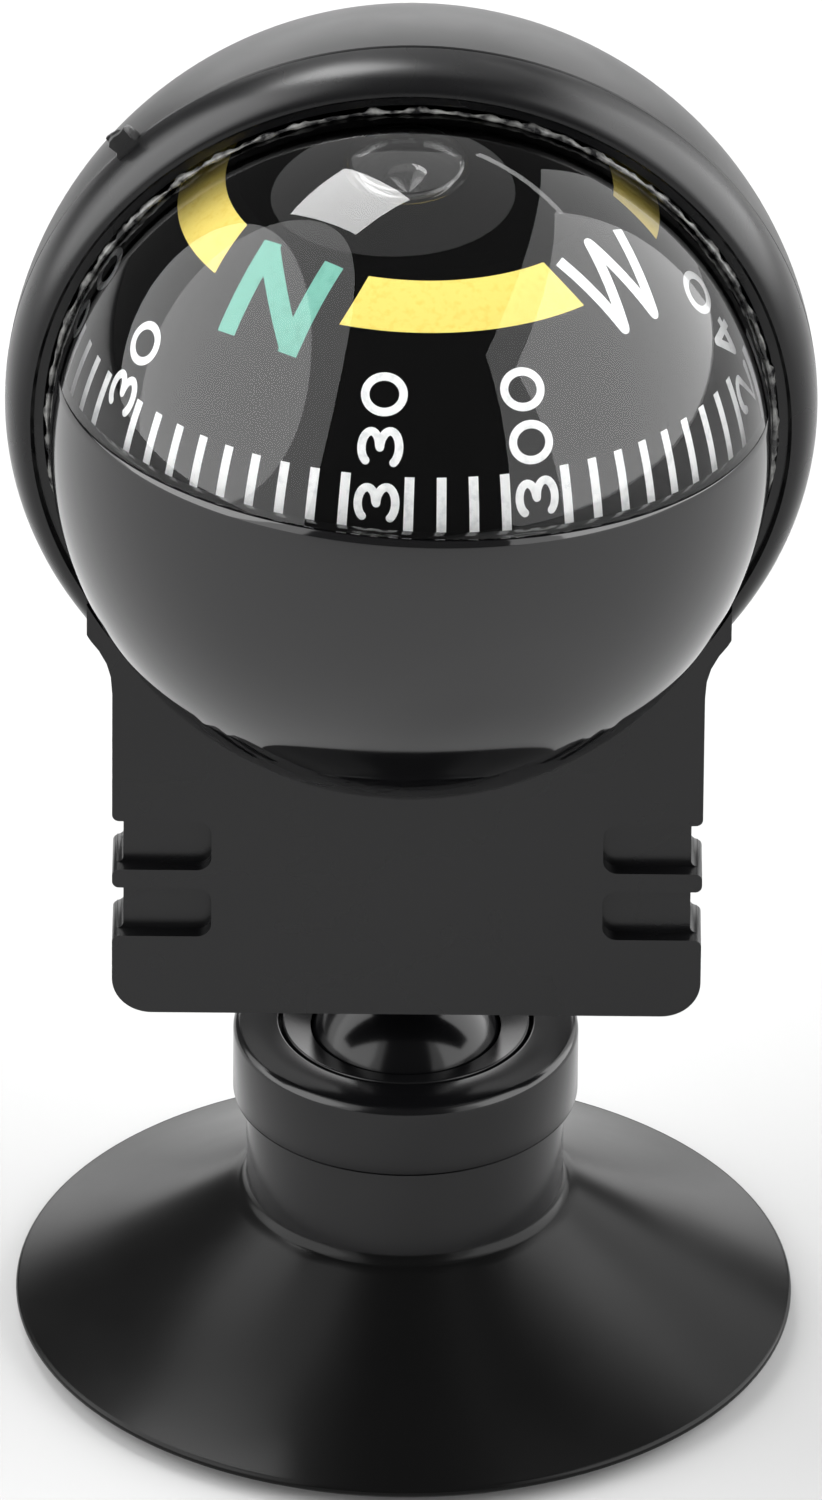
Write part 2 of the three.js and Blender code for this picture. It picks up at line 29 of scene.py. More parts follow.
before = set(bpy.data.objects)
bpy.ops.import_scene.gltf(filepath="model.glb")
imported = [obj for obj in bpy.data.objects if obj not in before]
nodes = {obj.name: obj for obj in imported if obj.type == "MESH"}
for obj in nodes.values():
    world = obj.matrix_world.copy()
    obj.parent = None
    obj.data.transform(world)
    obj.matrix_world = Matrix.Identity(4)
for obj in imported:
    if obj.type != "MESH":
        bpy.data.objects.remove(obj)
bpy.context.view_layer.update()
print("frame loaded:", len(nodes), "nodes")

metre = 1000.0  # millimetres in a metre
weld = 0.0005  # points nearer than this are joined

# Where the main parts stand, as in the solids
place = {
    "axisY": 0.785,  # cup, collar, ball joint and the rim's crease
    "jointZ": 12.17,
    "ballY": -2.275,
    "ballZ": 44.26,
    "ballRadius": 14.97,
    "shellWall": 1.0,
    "seamRise": 2.5,  # shells' seam above the ball's centre
    "seamPitch": 4.5,  # degrees, front edge up
    "seamRoll": 2.6,  # degrees, right edge down
    "dialLean": 4.3,
    "dialRoll": 1.3,
    "dialHeading": 323.4,  # degrees, the mark that faces the driver
}
ballCentre = Vector((0, place["ballY"], place["ballZ"]))


# Small tools

def toLinear(hexColour):
    # sRGB hex to the linear values that a shader reads
    values = [int(hexColour[at:at + 2], 16) / 255 for at in (1, 3, 5)]
    return [v / 12.92 if v <= 0.04045 else ((v + 0.055) / 1.055) ** 2.4 for v in values] + [1.0]


def addNode(tree, kind, settings=None, links=None):
    # one node with its settings and its incoming links
    node = tree.nodes.new(kind)
    for name, value in (settings or {}).items():
        if name in node.inputs:
            node.inputs[name].default_value = value
        else:
            setattr(node, name, value)
    for name, source in (links or {}).items():
        tree.links.new(source, node.inputs[name])
    return node


def newObject(name, data):
    piece = bpy.data.objects.new(name, data)
    bpy.context.scene.collection.objects.link(piece)
    return piece


def toMesh(bm, name):
    mesh = bpy.data.meshes.new(name)
    bm.to_mesh(mesh)
    bm.free()
    return mesh


def toObject(bm, name):
    return newObject(name, toMesh(bm, name))


def joinInto(target, bm):
    # adds one bmesh to another
    mesh = toMesh(bm, "joined")
    target.from_mesh(mesh)
    bpy.data.meshes.remove(mesh)


def evaluated(piece):
    # a bmesh of the piece as its modifiers or its curve's thickness leave it
    bpy.context.view_layer.update()
    mesh = bpy.data.meshes.new_from_object(piece.evaluated_get(bpy.context.evaluated_depsgraph_get()))
    bm = bmesh.new()
    bm.from_mesh(mesh)
    bpy.data.meshes.remove(mesh)
    return bm


def drawPath(bm, start, *moves):
    # wire in the XZ plane: (x, z) is a straight line to there,
    # (x, z, degrees, steps) goes round that centre, anticlockwise when positive
    last = bm.verts.new((start[0], 0, start[1]))
    for x, z, *arc in moves:
        if arc:
            degrees, steps = arc
            turned = bmesh.ops.spin(bm, geom=[last], cent=(x, 0, z), axis=(0, -1, 0),
                                    angle=math.radians(degrees), steps=steps)
            last = next(part for part in turned["geom_last"] if isinstance(part, bmesh.types.BMVert))
        else:
            corner = bm.verts.new((x, 0, z))
            bm.edges.new((last, corner))
            last = corner


def saggingArc(start, end, sag, steps):
    # the move from start to end on an arc that bows to the left of the way there
    first, last = Vector(start), Vector(end)
    across = last - first
    radius = across.length_squared / (8 * sag) + sag / 2
    centre = (first + last) / 2 + Vector((across.y, -across.x)).normalized() * (radius - sag)
    return centre.x, centre.y, -math.degrees(2 * math.asin(across.length / 2 / radius)), steps


def riseAngle(height, radius):
    # degrees above its middle at which a circle is this high
    return math.degrees(math.asin(height / radius))


def reachAt(angle, radius):
    # how far out a circle is at that angle
    return radius * math.cos(math.radians(angle))


def shiftMesh(bm, offset, verts=None):
    bmesh.ops.translate(bm, verts=verts or bm.verts[:], vec=Vector(offset))


def turnMesh(bm, degrees, axis, verts=None):
    bmesh.ops.rotate(bm, verts=verts or bm.verts[:], cent=(0, 0, 0),
                     matrix=Matrix.Rotation(math.radians(degrees), 3, axis))


def addBlock(bm, *size):
    # a block about the middle, and its corners
    corners = bmesh.ops.create_cube(bm, size=1)["verts"]
    bmesh.ops.scale(bm, verts=corners, vec=size)
    return corners


def roundEdges(bm, edges, offset, segments):
    bmesh.ops.bevel(bm, geom=edges, offset=offset, offset_type="OFFSET", segments=segments,
                    profile=0.5, affect="EDGES", clamp_overlap=True, material=-1)


def weldMesh(bm):
    bmesh.ops.remove_doubles(bm, verts=bm.verts[:], dist=weld)


def faceOutwards(bm):
    bmesh.ops.recalc_face_normals(bm, faces=bm.faces[:])


def spinRound(bm, steps=144):
    # revolves the wire about Z and closes it
    bmesh.ops.spin(bm, geom=bm.verts[:] + bm.edges[:], cent=(0, 0, 0), axis=(0, 0, 1),
                   angle=math.tau, steps=steps, use_merge=True)
    weldMesh(bm)
    bmesh.ops.dissolve_degenerate(bm, edges=bm.edges[:], dist=weld / 10)
    faceOutwards(bm)


def spinOnStand(bm, steps=144):
    # round about the cup's upright axis
    spinRound(bm, steps)
    shiftMesh(bm, (0, place["axisY"], 0))


def spinOnRim(bm, steps):
    # round about the rim's axis: x was the radius, z the distance behind the crease
    spinRound(bm, steps)
    turnMesh(bm, -90, "X")
    shiftMesh(bm, (0, place["axisY"], place["ballZ"]))


def finishPiece(bm, name, body, material, replaced=(), sharpAngle=32):
    # millimetres to metres, smooth shading with sharp edges, body and finish
    for face in bm.faces:
        face.smooth = True
    for edge in bm.edges:
        if len(edge.link_faces) == 2 and edge.calc_face_angle(0) > math.radians(sharpAngle):
            edge.smooth = False
    bmesh.ops.scale(bm, verts=bm.verts[:], vec=[1 / metre] * 3)
    piece = toObject(bm, name)
    piece.data.materials.append(finish[material])
    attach(piece, body)
    if replaced:
        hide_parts(*replaced)
    return piece


def flattenFaces(piece):
    # big flat faces keep their own normal, and only the rounded edges blend
    weighted = piece.modifiers.new("flat faces", "WEIGHTED_NORMAL")
    weighted.keep_sharp = True
    weighted.weight = 100


# Camera

camera = {
    "focalLength": 573.0,
    "sensor": 36,
    "clip": (0.01, 20),
    "distance": 1000.0,
    "elevation": 31.03,
    "aim": (0.117, 0.785, 27.347),
    "roll": 0.5,  # degrees, the stand leans a hair to the left in the picture
}


def makeCamera(look):
    data = bpy.data.cameras.new("camera")
    data.sensor_fit = "AUTO"
    data.sensor_width = look["sensor"]
    data.lens = look["focalLength"]
    data.clip_start, data.clip_end = look["clip"]
    piece = newObject("camera", data)
    elevation = math.radians(look["elevation"])
    back = Vector((0, -math.cos(elevation), math.sin(elevation)))
    aim = Vector(look["aim"]) / metre
    facing = (-back).to_track_quat("-Z", "Y").to_matrix()
    turned = facing @ Matrix.Rotation(math.radians(look["roll"]), 3, "Z")
    piece.matrix_world = Matrix.Translation(aim + back * look["distance"] / metre) @ turned.to_4x4()
    bpy.context.scene.camera = piece


makeCamera(camera)
bpy.context.scene.view_settings.view_transform = "Standard"


# Materials. Patterns are sized in millimetres.

finish = {}
noiseFoot, noiseTop = 0.3, 0.7  # where most values of a noise texture lie
immersedIor = 1.03  # the liquid bends light almost as plastic and ink do, which takes their gloss


def makeMaterial(name, build, look):
    # a material whose nodes are laid by the function of its kind
    material = bpy.data.materials.new(name)
    material.use_nodes = True
    tree = material.node_tree
    tree.nodes.clear()
    shader = build(tree, look)
    addNode(tree, "ShaderNodeOutputMaterial", {}, {"Surface": shader.outputs["BSDF"]})
    finish[name] = material


def setRamp(ramp, *stops):
    # the two ends of a colour ramp, each as its place and colour
    for element, (position, colour) in zip(ramp.color_ramp.elements, stops):
        element.position = position
        element.color = toLinear(colour)


plastics = {
    # soft PVC from a polished mould: wet black, with long soft streaks of light down the cone
    "softPvcCup": {"colour": "#090909", "roughness": 0.22, "haze": 0.04, "ior": 1.21,
                   "ripple": 5.0, "rippleDepth": 0.006, "grain": 0.14, "grainDepth": 0.0004},
    # ABS from a polished mould: clear highlights with slightly soft edges
    "glossAbs": {"colour": "#080809", "roughness": 0.18, "haze": 0.02, "ior": 1.42,
                 "ripple": 3.5, "rippleDepth": 0.003, "grain": 0.12, "grainDepth": 0.0002},
    # ABS from a finely grained mould: an even charcoal sheen that shows no lamp's outline
    "satinAbs": {"colour": "#0b0b0c", "roughness": 0.27, "haze": 0.04, "ior": 1.42,
                 "ripple": 4.0, "rippleDepth": 0.002, "grain": 0.1, "grainDepth": 0.0006},
    # ABS from a duller mould: broad grey light that fades over the dome
    "hoodAbs": {"colour": "#0d0d0e", "roughness": 0.38, "haze": 0.04, "ior": 1.5,
                "ripple": 4.0, "rippleDepth": 0.002, "grain": 0.1, "grainDepth": 0.0006},
    # ABS rubbed smooth in its socket: small sharp glints on a deep black, a little wavy
    "wornAbs": {"colour": "#070708", "roughness": 0.16, "haze": 0.03, "ior": 1.32,
                "ripple": 1.6, "rippleDepth": 0.004, "grain": 0.12, "grainDepth": 0.0002},
    # polystyrene, moulded and polished: a near mirror with large clear reflections
    "polishedStyrene": {"colour": "#0c0c0d", "roughness": 0.06, "haze": 0.03, "ior": 1.6,
                        "ripple": 6.0, "rippleDepth": 0.003, "grain": 0.12, "grainDepth": 0.0001},
    # acetal, moulded: a waxy grey-black with a soft shine
    "acetalLiner": {"colour": "#0c0c0d", "roughness": 0.22, "haze": 0.04, "ior": 1.36,
                    "ripple": 2.0, "rippleDepth": 0.001, "grain": 0.09, "grainDepth": 0.0004},
    # ABS under the liquid: flat black without gloss
    "immersedAbs": {"colour": "#060606", "roughness": 0.5, "haze": 0.05, "ior": immersedIor,
                    "ripple": 3.0, "rippleDepth": 0.001, "grain": 0.12, "grainDepth": 0.0003},
    # nitrile rubber, moulded: dull charcoal with a visible tooth
    "nitrileRubber": {"colour": "#161616", "roughness": 0.7, "haze": 0.08, "ior": 1.52,
                      "ripple": 2.0, "rippleDepth": 0.01, "grain": 0.1, "grainDepth": 0.002},
}
cloudShare = 1.4  # size of the clouds of haze in shares of the ripples


def mouldedPlastic(tree, look):
    # dark body, a gloss that clouds and ripples softly where the plastic shrank in the mould,
    # and the mould's own grain, which is drawn a little coarser than real so that it shows
    spot = addNode(tree, "ShaderNodeTexCoord").outputs["Object"]
    cloud = addNode(tree, "ShaderNodeTexNoise", {
        "Scale": metre / (look["ripple"] * cloudShare), "Detail": 3.0}, {"Vector": spot})
    haze = addNode(tree, "ShaderNodeMapRange", {
        "From Min": noiseFoot, "From Max": noiseTop,
        "To Min": look["roughness"] - look["haze"], "To Max": look["roughness"] + look["haze"]},
        {"Value": cloud.outputs["Fac"]})
    normal = {}
    for layer, detail in (("ripple", 1.0), ("grain", 2.0)):
        texture = addNode(tree, "ShaderNodeTexNoise", {
            "Scale": metre / look[layer], "Detail": detail}, {"Vector": spot})
        bump = addNode(tree, "ShaderNodeBump", {
            "Strength": 1.0, "Distance": look[layer + "Depth"] / metre},
            {"Height": texture.outputs["Fac"], **normal})
        normal = {"Normal": bump.outputs["Normal"]}
    return addNode(tree, "ShaderNodeBsdfPrincipled", {
        "Base Color": toLinear(look["colour"]), "IOR": look["ior"]},
        {"Roughness": haze.outputs["Result"], **normal})


acrylic = {
    "colour": "#ffffff",
    # painted shade: the darker colour that the clear body takes at the limb
    "paintedLimbShade": "#3c3c3e",
    "paintedShadeStart": 0.37,  # share of the turn away from the eye where the painted shade starts
    "paintedShadeEnd": 0.64,
    "ior": 1.46,
    "roughness": 0.0,
}


def clearAcrylic(tree, look):
    # clear moulded acrylic with the liquid behind it, which bends light as one body: a bright
    # lens. Towards the limb its colour is painted darker, a painted shade that dims the scale seen there
    facing = addNode(tree, "ShaderNodeLayerWeight", {"Blend": 0.5}).outputs["Facing"]
    # painted shade: the colour turns darker as the surface turns away from the eye
    depth = addNode(tree, "ShaderNodeMapRange", {
        "From Min": look["paintedShadeStart"], "From Max": look["paintedShadeEnd"]}, {"Value": facing})
    paintedShadeRamp = addNode(tree, "ShaderNodeValToRGB", {}, {"Fac": depth.outputs["Result"]})
    setRamp(paintedShadeRamp, (0.0, look["colour"]), (1.0, look["paintedLimbShade"]))
    return addNode(tree, "ShaderNodeBsdfPrincipled", {
        "IOR": look["ior"], "Roughness": look["roughness"], "Transmission Weight": 1.0},
        {"Base Color": paintedShadeRamp.outputs["Color"]})


cement = {
    "dark": (0.42, "#1a1a1b"),  # place on the ramp and colour
    "pale": (0.62, "#7c7c7a"),
    "lump": 0.7,
    "lumpDepth": 0.05,
    "ior": 1.47,
    "roughness": 0.22,
}


def driedCement(tree, look):
    # solvent cement dried in the gap: cloudy lumps with a wet shine
    spot = addNode(tree, "ShaderNodeTexCoord").outputs["Object"]
    cloud = addNode(tree, "ShaderNodeTexNoise", {"Scale": metre / look["lump"], "Detail": 4.0},
                    {"Vector": spot})
    ramp = addNode(tree, "ShaderNodeValToRGB", {}, {"Fac": cloud.outputs["Fac"]})
    setRamp(ramp, look["dark"], look["pale"])
    bump = addNode(tree, "ShaderNodeBump", {"Strength": 1.0, "Distance": look["lumpDepth"] / metre},
                   {"Height": cloud.outputs["Fac"]})
    return addNode(tree, "ShaderNodeBsdfPrincipled", {"IOR": look["ior"], "Roughness": look["roughness"]},
                   {"Base Color": ramp.outputs["Color"], "Normal": bump.outputs["Normal"]})


inks = {
    "whiteInk": {"colour": "#f4f5f5", "thin": "#dfe1e2", "blotch": 0.35},
    "mintInk": {"colour": "#6bb09f", "thin": "#5da391", "blotch": 0.35},
    "yellowInk": {"colour": "#f1da74", "thin": "#ebd066", "blotch": 0.3},
}
inkCoat = {"thinAt": 0.3, "fullAt": 0.5, "roughness": 0.6}


def printedInk(tree, look):
    # pad-printed ink: flat clean colour, slightly blotchy where the coat is thin
    spot = addNode(tree, "ShaderNodeTexCoord").outputs["Object"]
    coat = addNode(tree, "ShaderNodeTexNoise", {"Scale": metre / look["blotch"], "Detail": 3.0},
                   {"Vector": spot})
    ramp = addNode(tree, "ShaderNodeValToRGB", {}, {"Fac": coat.outputs["Fac"]})
    setRamp(ramp, (inkCoat["thinAt"], look["thin"]), (inkCoat["fullAt"], look["colour"]))
    return addNode(tree, "ShaderNodeBsdfPrincipled", {"IOR": immersedIor, "Roughness": inkCoat["roughness"]},
                   {"Base Color": ramp.outputs["Color"]})


metals = {
    # bright and cold, with a blurred glint
    "groundSteel": {"colour": "#c3c6ca", "metallic": 1.0, "roughness": 0.22,
                    "ring": 0.05, "ringDepth": 0.0004},
    # warm yellow with a soft glint
    "turnedBrass": {"colour": "#d8b566", "metallic": 1.0, "roughness": 0.3,
                    "ring": 0.06, "ringDepth": 0.0005},
    # dull grey, more stone than metal
    "pressedFerrite": {"colour": "#4a4a4d", "metallic": 0.0, "roughness": 0.6,
                       "ring": 0.12, "ringDepth": 0.002},
}
metalSpread = (0.8, 1.3)  # least and most roughness, in shares of a metal's own


def turnedMetal(tree, look):
    # the fine marks of turning, grinding or pressing break the glint up
    spot = addNode(tree, "ShaderNodeTexCoord").outputs["Object"]
    wave = addNode(tree, "ShaderNodeTexNoise", {"Scale": metre / look["ring"], "Detail": 2.0},
                   {"Vector": spot})
    least, most = metalSpread
    rough = addNode(tree, "ShaderNodeMapRange", {
        "To Min": look["roughness"] * least, "To Max": look["roughness"] * most},
        {"Value": wave.outputs["Fac"]})
    bump = addNode(tree, "ShaderNodeBump", {"Strength": 1.0, "Distance": look["ringDepth"] / metre},
                   {"Height": wave.outputs["Fac"]})
    return addNode(tree, "ShaderNodeBsdfPrincipled", {
        "Base Color": toLinear(look["colour"]), "Metallic": look["metallic"]},
        {"Roughness": rough.outputs["Result"], "Normal": bump.outputs["Normal"]})


for build, looks in ((mouldedPlastic, plastics), (driedCement, {"driedCement": cement}),
                     (clearAcrylic, {"clearAcrylic": acrylic}), (printedInk, inks), (turnedMetal, metals)):
    for name, look in looks.items():
        makeMaterial(name, build, look)
print("materials ready:", len(finish))


# Suction cup

cup = {
    "radius": 16.46,
    "height": 6.2,
    "neckRadius": 6.7,
    "filletWidth": 0.4,  # the soft skin runs up the neck's foot
    "filletHeight": 0.34,
    "filletDrop": 0.1,
    "filletSag": 0.08,
    "lipFootRadius": 15.42,
    "lipFootRound": 0.14,
    "lipFootInset": 0.12,
    "lipHeight": 0.86,
    "lipRound": 0.22,
    "lipStartShares": (0.22, 0.6),  # of lipRound: in from the edge and down
    "lipEndShares": (0.62, 0.86),  # in from the edge and up
    "lipTurn": 100,  # degrees
    "dish": 0.2,  # sag of the cone below a straight line
    "hollowDepth": 2.3,
    "seatRadius": 14.285,
}


def makeCup(look):
    bm = bmesh.new()
    sphereRadius = (look["seatRadius"] ** 2 + look["hollowDepth"] ** 2) / (2 * look["hollowDepth"])
    edge, lipHeight = look["lipRound"], look["lipHeight"]
    lipFoot = look["lipFootRadius"] - look["lipFootInset"]
    sideLean = math.degrees(math.atan2(look["radius"] - look["lipFootRadius"], lipHeight))
    startIn, startDown = look["lipStartShares"]
    endIn, endUp = look["lipEndShares"]
    coneFoot = (look["radius"] - edge * endIn, lipHeight + edge * endUp)
    coneTop = (look["neckRadius"] + look["filletWidth"], look["height"] - look["filletDrop"])
    filletTop = (look["neckRadius"], look["height"] + look["filletHeight"])
    drawPath(
        bm, (0, look["hollowDepth"]),
        (0, look["hollowDepth"] - sphereRadius, -riseAngle(look["seatRadius"], sphereRadius), 24),
        (lipFoot, 0.0),
        (lipFoot, look["lipFootRound"], 90 - sideLean, 4),
        (look["radius"] - edge * startIn, lipHeight - edge * startDown),
        (look["radius"] - edge, lipHeight, look["lipTurn"], 10),
        coneFoot,
        saggingArc(coneFoot, coneTop, look["dish"], 30),
        saggingArc(coneTop, filletTop, look["filletSag"], 8),
        (look["neckRadius"], look["height"]),
        (0, look["height"]),
    )
    spinOnStand(bm, 192)
    finishPiece(bm, "soft_cup", "base", "softPvcCup", ["suction_cup"])


makeCup(cup)


# Neck, collar, liner and ball stud

neck = {
    "seamZ": 10.78,
    "edge": 0.2,
    "spigotRadius": 6.0,
    "spigotTopZ": 11.48,
    "boreRadius": 5.1,
    "floorZ": 7.05,
}


def makeNeck(look):
    bm = bmesh.new()
    radius, edge, seam = cup["neckRadius"], look["edge"], look["seamZ"]
    drawPath(
        bm, (0, cup["height"]),
        (radius, cup["height"]),
        (radius, seam - edge),
        (radius - edge, seam - edge, 90, 4),
        (look["spigotRadius"], seam),
        (look["spigotRadius"], look["spigotTopZ"]),
        (look["boreRadius"], look["spigotTopZ"]),
        (look["boreRadius"], look["floorZ"]),
        (0, look["floorZ"]),
    )
    spinOnStand(bm)
    finishPiece(bm, "neck_body", "base", "glossAbs", ["socket_body"])


makeNeck(neck)

collar = {
    "radius": 7.28,
    "topZ": 14.17,
    "footEdge": 0.15,
    "topEdge": 0.4,
    "topFall": 0.06,  # the top slopes outwards by this much
    "topTurn": 80,  # degrees that the top edge is round for
    "mouthRadius": 5.36,
    "mouthEdge": 0.1,
    "lip": 1.3,
    "boreRadius": 6.15,
}


def makeCollar(look):
    bm = bmesh.new()
    radius, bore, foot, top = look["radius"], look["boreRadius"], neck["seamZ"], look["topZ"]
    footEdge, mouthEdge = look["footEdge"], look["mouthEdge"]
    mouthX = look["mouthRadius"] + mouthEdge
    roundZ = top - look["topFall"] - look["topEdge"]
    drawPath(
        bm, (bore, foot),
        (radius - footEdge, foot),
        (radius - footEdge, foot + footEdge, 90, 3),
        (radius, roundZ),
        (radius - look["topEdge"], roundZ, look["topTurn"], 8),
        (mouthX, top),
        (mouthX, top - mouthEdge, 90, 3),
        (look["mouthRadius"], top - look["lip"]),
        (bore, top - look["lip"]),
        (bore, foot),
    )
    spinOnStand(bm)
    finishPiece(bm, "neck_collar", "base", "glossAbs", ["collar_ring"])


makeCollar(collar)

liner = {
    "seatRadius": 4.35,
    "mouthZ": 13.82,
    "rimRadius": 5.21,
    "rimEdge": 0.08,
    "footZ": 11.67,
    "skirtRadius": 4.95,
    "flangeRadius": 6.0,
    "flangeTopZ": 12.72,
    "flangeFootZ": 11.82,
}


def makeLiner(look):
    bm = bmesh.new()
    seat, joint, mouth, foot = look["seatRadius"], place["jointZ"], look["mouthZ"], look["footZ"]
    skirt, flange, rimX = look["skirtRadius"], look["flangeRadius"], look["rimRadius"]
    mouthAngle = riseAngle(mouth - joint, seat)
    mouthX = reachAt(mouthAngle, seat)
    roundZ = collar["topZ"] - look["rimEdge"]
    drawPath(
        bm, (mouthX, mouth),
        (0, joint, riseAngle(foot - joint, seat) - mouthAngle, 12),
        (skirt, foot),
        (skirt, look["flangeFootZ"]),
        (flange, look["flangeFootZ"]),
        (flange, look["flangeTopZ"]),
        (rimX, look["flangeTopZ"]),
        (rimX, roundZ),
        (rimX - look["rimEdge"], roundZ, 90, 3),
        (mouthX, mouth),
    )
    spinOnStand(bm)
    finishPiece(bm, "ball_seat", "seat", "acetalLiner", ["socket_liner"])


makeLiner(liner)

stud = {
    "ballRadius": 4.2,
    "neckRadius": 2.0,
    "bossFootZ": 18.07,
    "shankRadius": 1.6,
    "shankTopZ": 25.5,
}


def makeStud(look):
    bm = bmesh.new()
    neckAngle = math.degrees(math.acos(look["neckRadius"] / look["ballRadius"]))
    drawPath(
        bm, (0, place["jointZ"] - look["ballRadius"]),
        (0, place["jointZ"], 90 + neckAngle, 40),
        (look["neckRadius"], look["bossFootZ"]),
        (look["shankRadius"], look["bossFootZ"]),
        (look["shankRadius"], look["shankTopZ"]),
        (0, look["shankTopZ"]),
    )
    spinOnStand(bm)
    finishPiece(bm, "swivel_ball", "stud", "wornAbs", ["ball_stud"])


makeStud(stud)
print("stand made")


# Front frame: rim round the ball

rim = {
    "radius": 16.873,
    "crease": 0.08,
    "land": 0.02,  # straight run between the crease and the round
    "depth": 2.27,
    "taper": 1.09,
    "lipRadius": 15.2,
    "lipDepth": 2.0,
    "lipEdge": 0.05,
    "frontEdge": 0.15,
    "spigotRadius": 15.54,
    "spigotDepth": 1.2,
}


def makeRim(look):
    bm = bmesh.new()
    radius, crease, lip, lipZ = look["radius"], look["crease"], look["lipRadius"], -look["lipDepth"]
    frontX = radius - look["taper"]
    innerX = frontX - look["frontEdge"]
    roundZ = -crease - look["land"]
    drawPath(bm, (radius - crease, 0), (radius, -crease), (radius, roundZ), (frontX, roundZ, -90, 12))
    # the quarter round is stretched to the rim's true depth
    for vert in bm.verts:
        if vert.co.z < roundZ:
            vert.co.z = roundZ + (vert.co.z - roundZ) * (look["depth"] + roundZ) / look["taper"]
    front = min(bm.verts, key=lambda vert: vert.co.z).co
    drawPath(
        bm, (front.x, front.z),
        (innerX, -look["depth"] + look["frontEdge"]),
        (innerX, lipZ),
        (lip + look["lipEdge"], lipZ),
        (lip, lipZ + look["lipEdge"]),
        (lip, look["spigotDepth"]),
        (look["spigotRadius"], look["spigotDepth"]),
        (look["spigotRadius"], 0),
        (radius - crease, 0),
    )
    spinOnRim(bm, 240)
    finishPiece(bm, "rim_ring", "head", "satinAbs", ["front_frame"])


makeRim(rim)


# Front frame: grip plate

plate = {
    "frontY": -4.215,
    "thickness": 2.9,
    "footZ": 17.42,
    "halfWidth": 12.33,
    "hornHalfWidth": 13.39,
    "hornTipZ": 37.21,
    "hornUpright": 1.55,
    "shoulder": 2.3,
    "bendShares": ((0.06, 0.18), (0.22, 0.45), (0.52, 0.72), (0.85, 0.93)),  # out and up the shoulder
    "bendStart": 0.4,
    "bendEnd": 0.12,
    "corner": 1.65,
    "cutoutRadius": 15.13,
    "pocketTops": (26.76, 23.52),
    "pocketHeight": 2.36,
    "pocketDepth": 0.65,
    "pocketReach": 4.15,
    "pocketCorner": 0.6,
    "notchReach": 0.47,
    "notchCorner": 0.3,
    "flare": 0.3,
    "edge": 0.14,
    "flatWithin": 0.5,  # degrees between two faces that are one
    "roundedFrom": 40,  # degrees between two faces whose edge is rounded
    "overrun": 2,  # of what cuts the plate
}


def closeAndThicken(bm, frontY, thickness):
    # fills the wire drawn in XZ and pushes it back to its thickness
    weldMesh(bm)
    bmesh.ops.contextual_create(bm, geom=bm.edges[:])
    swept = bmesh.ops.extrude_face_region(bm, geom=bm.faces[:])
    shiftMesh(bm, (0, thickness, 0), [part for part in swept["geom"] if isinstance(part, bmesh.types.BMVert)])
    shiftMesh(bm, (0, frontY, 0))
    faceOutwards(bm)


def booleanResult(base, cutters, operation="DIFFERENCE"):
    # one boolean after another, and the result as a bmesh
    for cutter in cutters:
        cutting = base.modifiers.new(cutter.name, "BOOLEAN")
        cutting.operation = operation
        cutting.solver = "EXACT"
        cutting.object = cutter
    bm = evaluated(base)
    for helper in (base, *cutters):
        bpy.data.meshes.remove(helper.data)  # its object goes with it
    return bm


def halfOutline(bm, look):
    # right half of the plate's outline, from the middle of its foot to the middle of the cut-out
    corner, halfWidth, hornX = look["corner"], look["halfWidth"], look["hornHalfWidth"]
    shoulderTop = look["hornTipZ"] - look["hornUpright"]
    shoulderFoot = shoulderTop - look["shoulder"]
    bend = [(halfWidth + (hornX - halfWidth) * out, shoulderFoot + look["shoulder"] * up)
            for out, up in look["bendShares"]]
    tipAngle = riseAngle(place["ballZ"] - look["hornTipZ"], look["cutoutRadius"])
    drawPath(
        bm, (0, look["footZ"]),
        (halfWidth - corner, look["footZ"]),
        (halfWidth - corner, look["footZ"] + corner, 90, 12),
        (halfWidth, shoulderFoot - look["bendStart"]),
        *bend,
        (hornX, shoulderTop + look["bendEnd"]),
        (hornX, look["hornTipZ"]),
        (0, place["ballZ"], tipAngle - 90, 40),
    )


def recessOutline(bm, look, top, reach, corner):
    # a recess that opens at the plate's right edge with flared mouths
    flare = look["flare"]
    innerX = look["halfWidth"] - reach
    flareX = look["halfWidth"] - flare
    foot = top - look["pocketHeight"]
    outX = look["halfWidth"] + look["overrun"]
    drawPath(
        bm, (outX, foot - flare),
        (look["halfWidth"], foot - flare),
        (flareX, foot - flare, 90, 6),
        (innerX + corner, foot),
        (innerX + corner, foot + corner, -90, 8),
        (innerX, top - corner),
        (innerX + corner, top - corner, -90, 8),
        (flareX, top),
        (flareX, top + flare, 90, 6),
        (outX, top + flare),
        (outX, foot - flare),
    )


def makePlate(look):
    bm = bmesh.new()
    halfOutline(bm, look)
    bmesh.ops.mirror(bm, geom=bm.verts[:] + bm.edges[:], axis="X", merge_dist=weld)
    closeAndThicken(bm, look["frontY"], look["thickness"])
    base = toObject(bm, "plate_blank")
    cutters = []
    overrun = look["overrun"]
    for number, top in enumerate(look["pocketTops"]):
        for kind, depth in (("pocket", look["pocketDepth"]), ("notch", look["thickness"] + overrun)):
            bm = bmesh.new()
            recessOutline(bm, look, top, look[kind + "Reach"], look[kind + "Corner"])
            closeAndThicken(bm, look["frontY"] - overrun, overrun + depth)
            bmesh.ops.mirror(bm, geom=bm.verts[:] + bm.edges[:] + bm.faces[:], axis="X", merge_dist=weld)
            faceOutwards(bm)
            cutters.append(toObject(bm, f"{kind}_{number}"))
    bm = booleanResult(base, cutters)
    weldMesh(bm)
    flat = math.radians(look["flatWithin"])
    bmesh.ops.dissolve_limit(bm, angle_limit=flat, verts=bm.verts[:], edges=bm.edges[:])
    # edges through the plate are left out, as its corners are arcs already
    rounded = [edge for edge in bm.edges if len(edge.link_faces) == 2
               and edge.calc_face_angle(0) >= math.radians(look["roundedFrom"])
               and abs(edge.verts[0].co.y - edge.verts[1].co.y) < weld]
    roundEdges(bm, rounded, look["edge"], 3)
    flattenFaces(finishPiece(bm, "grip_plate", "head", "satinAbs", ["front_frame"], 60))


makePlate(plate)

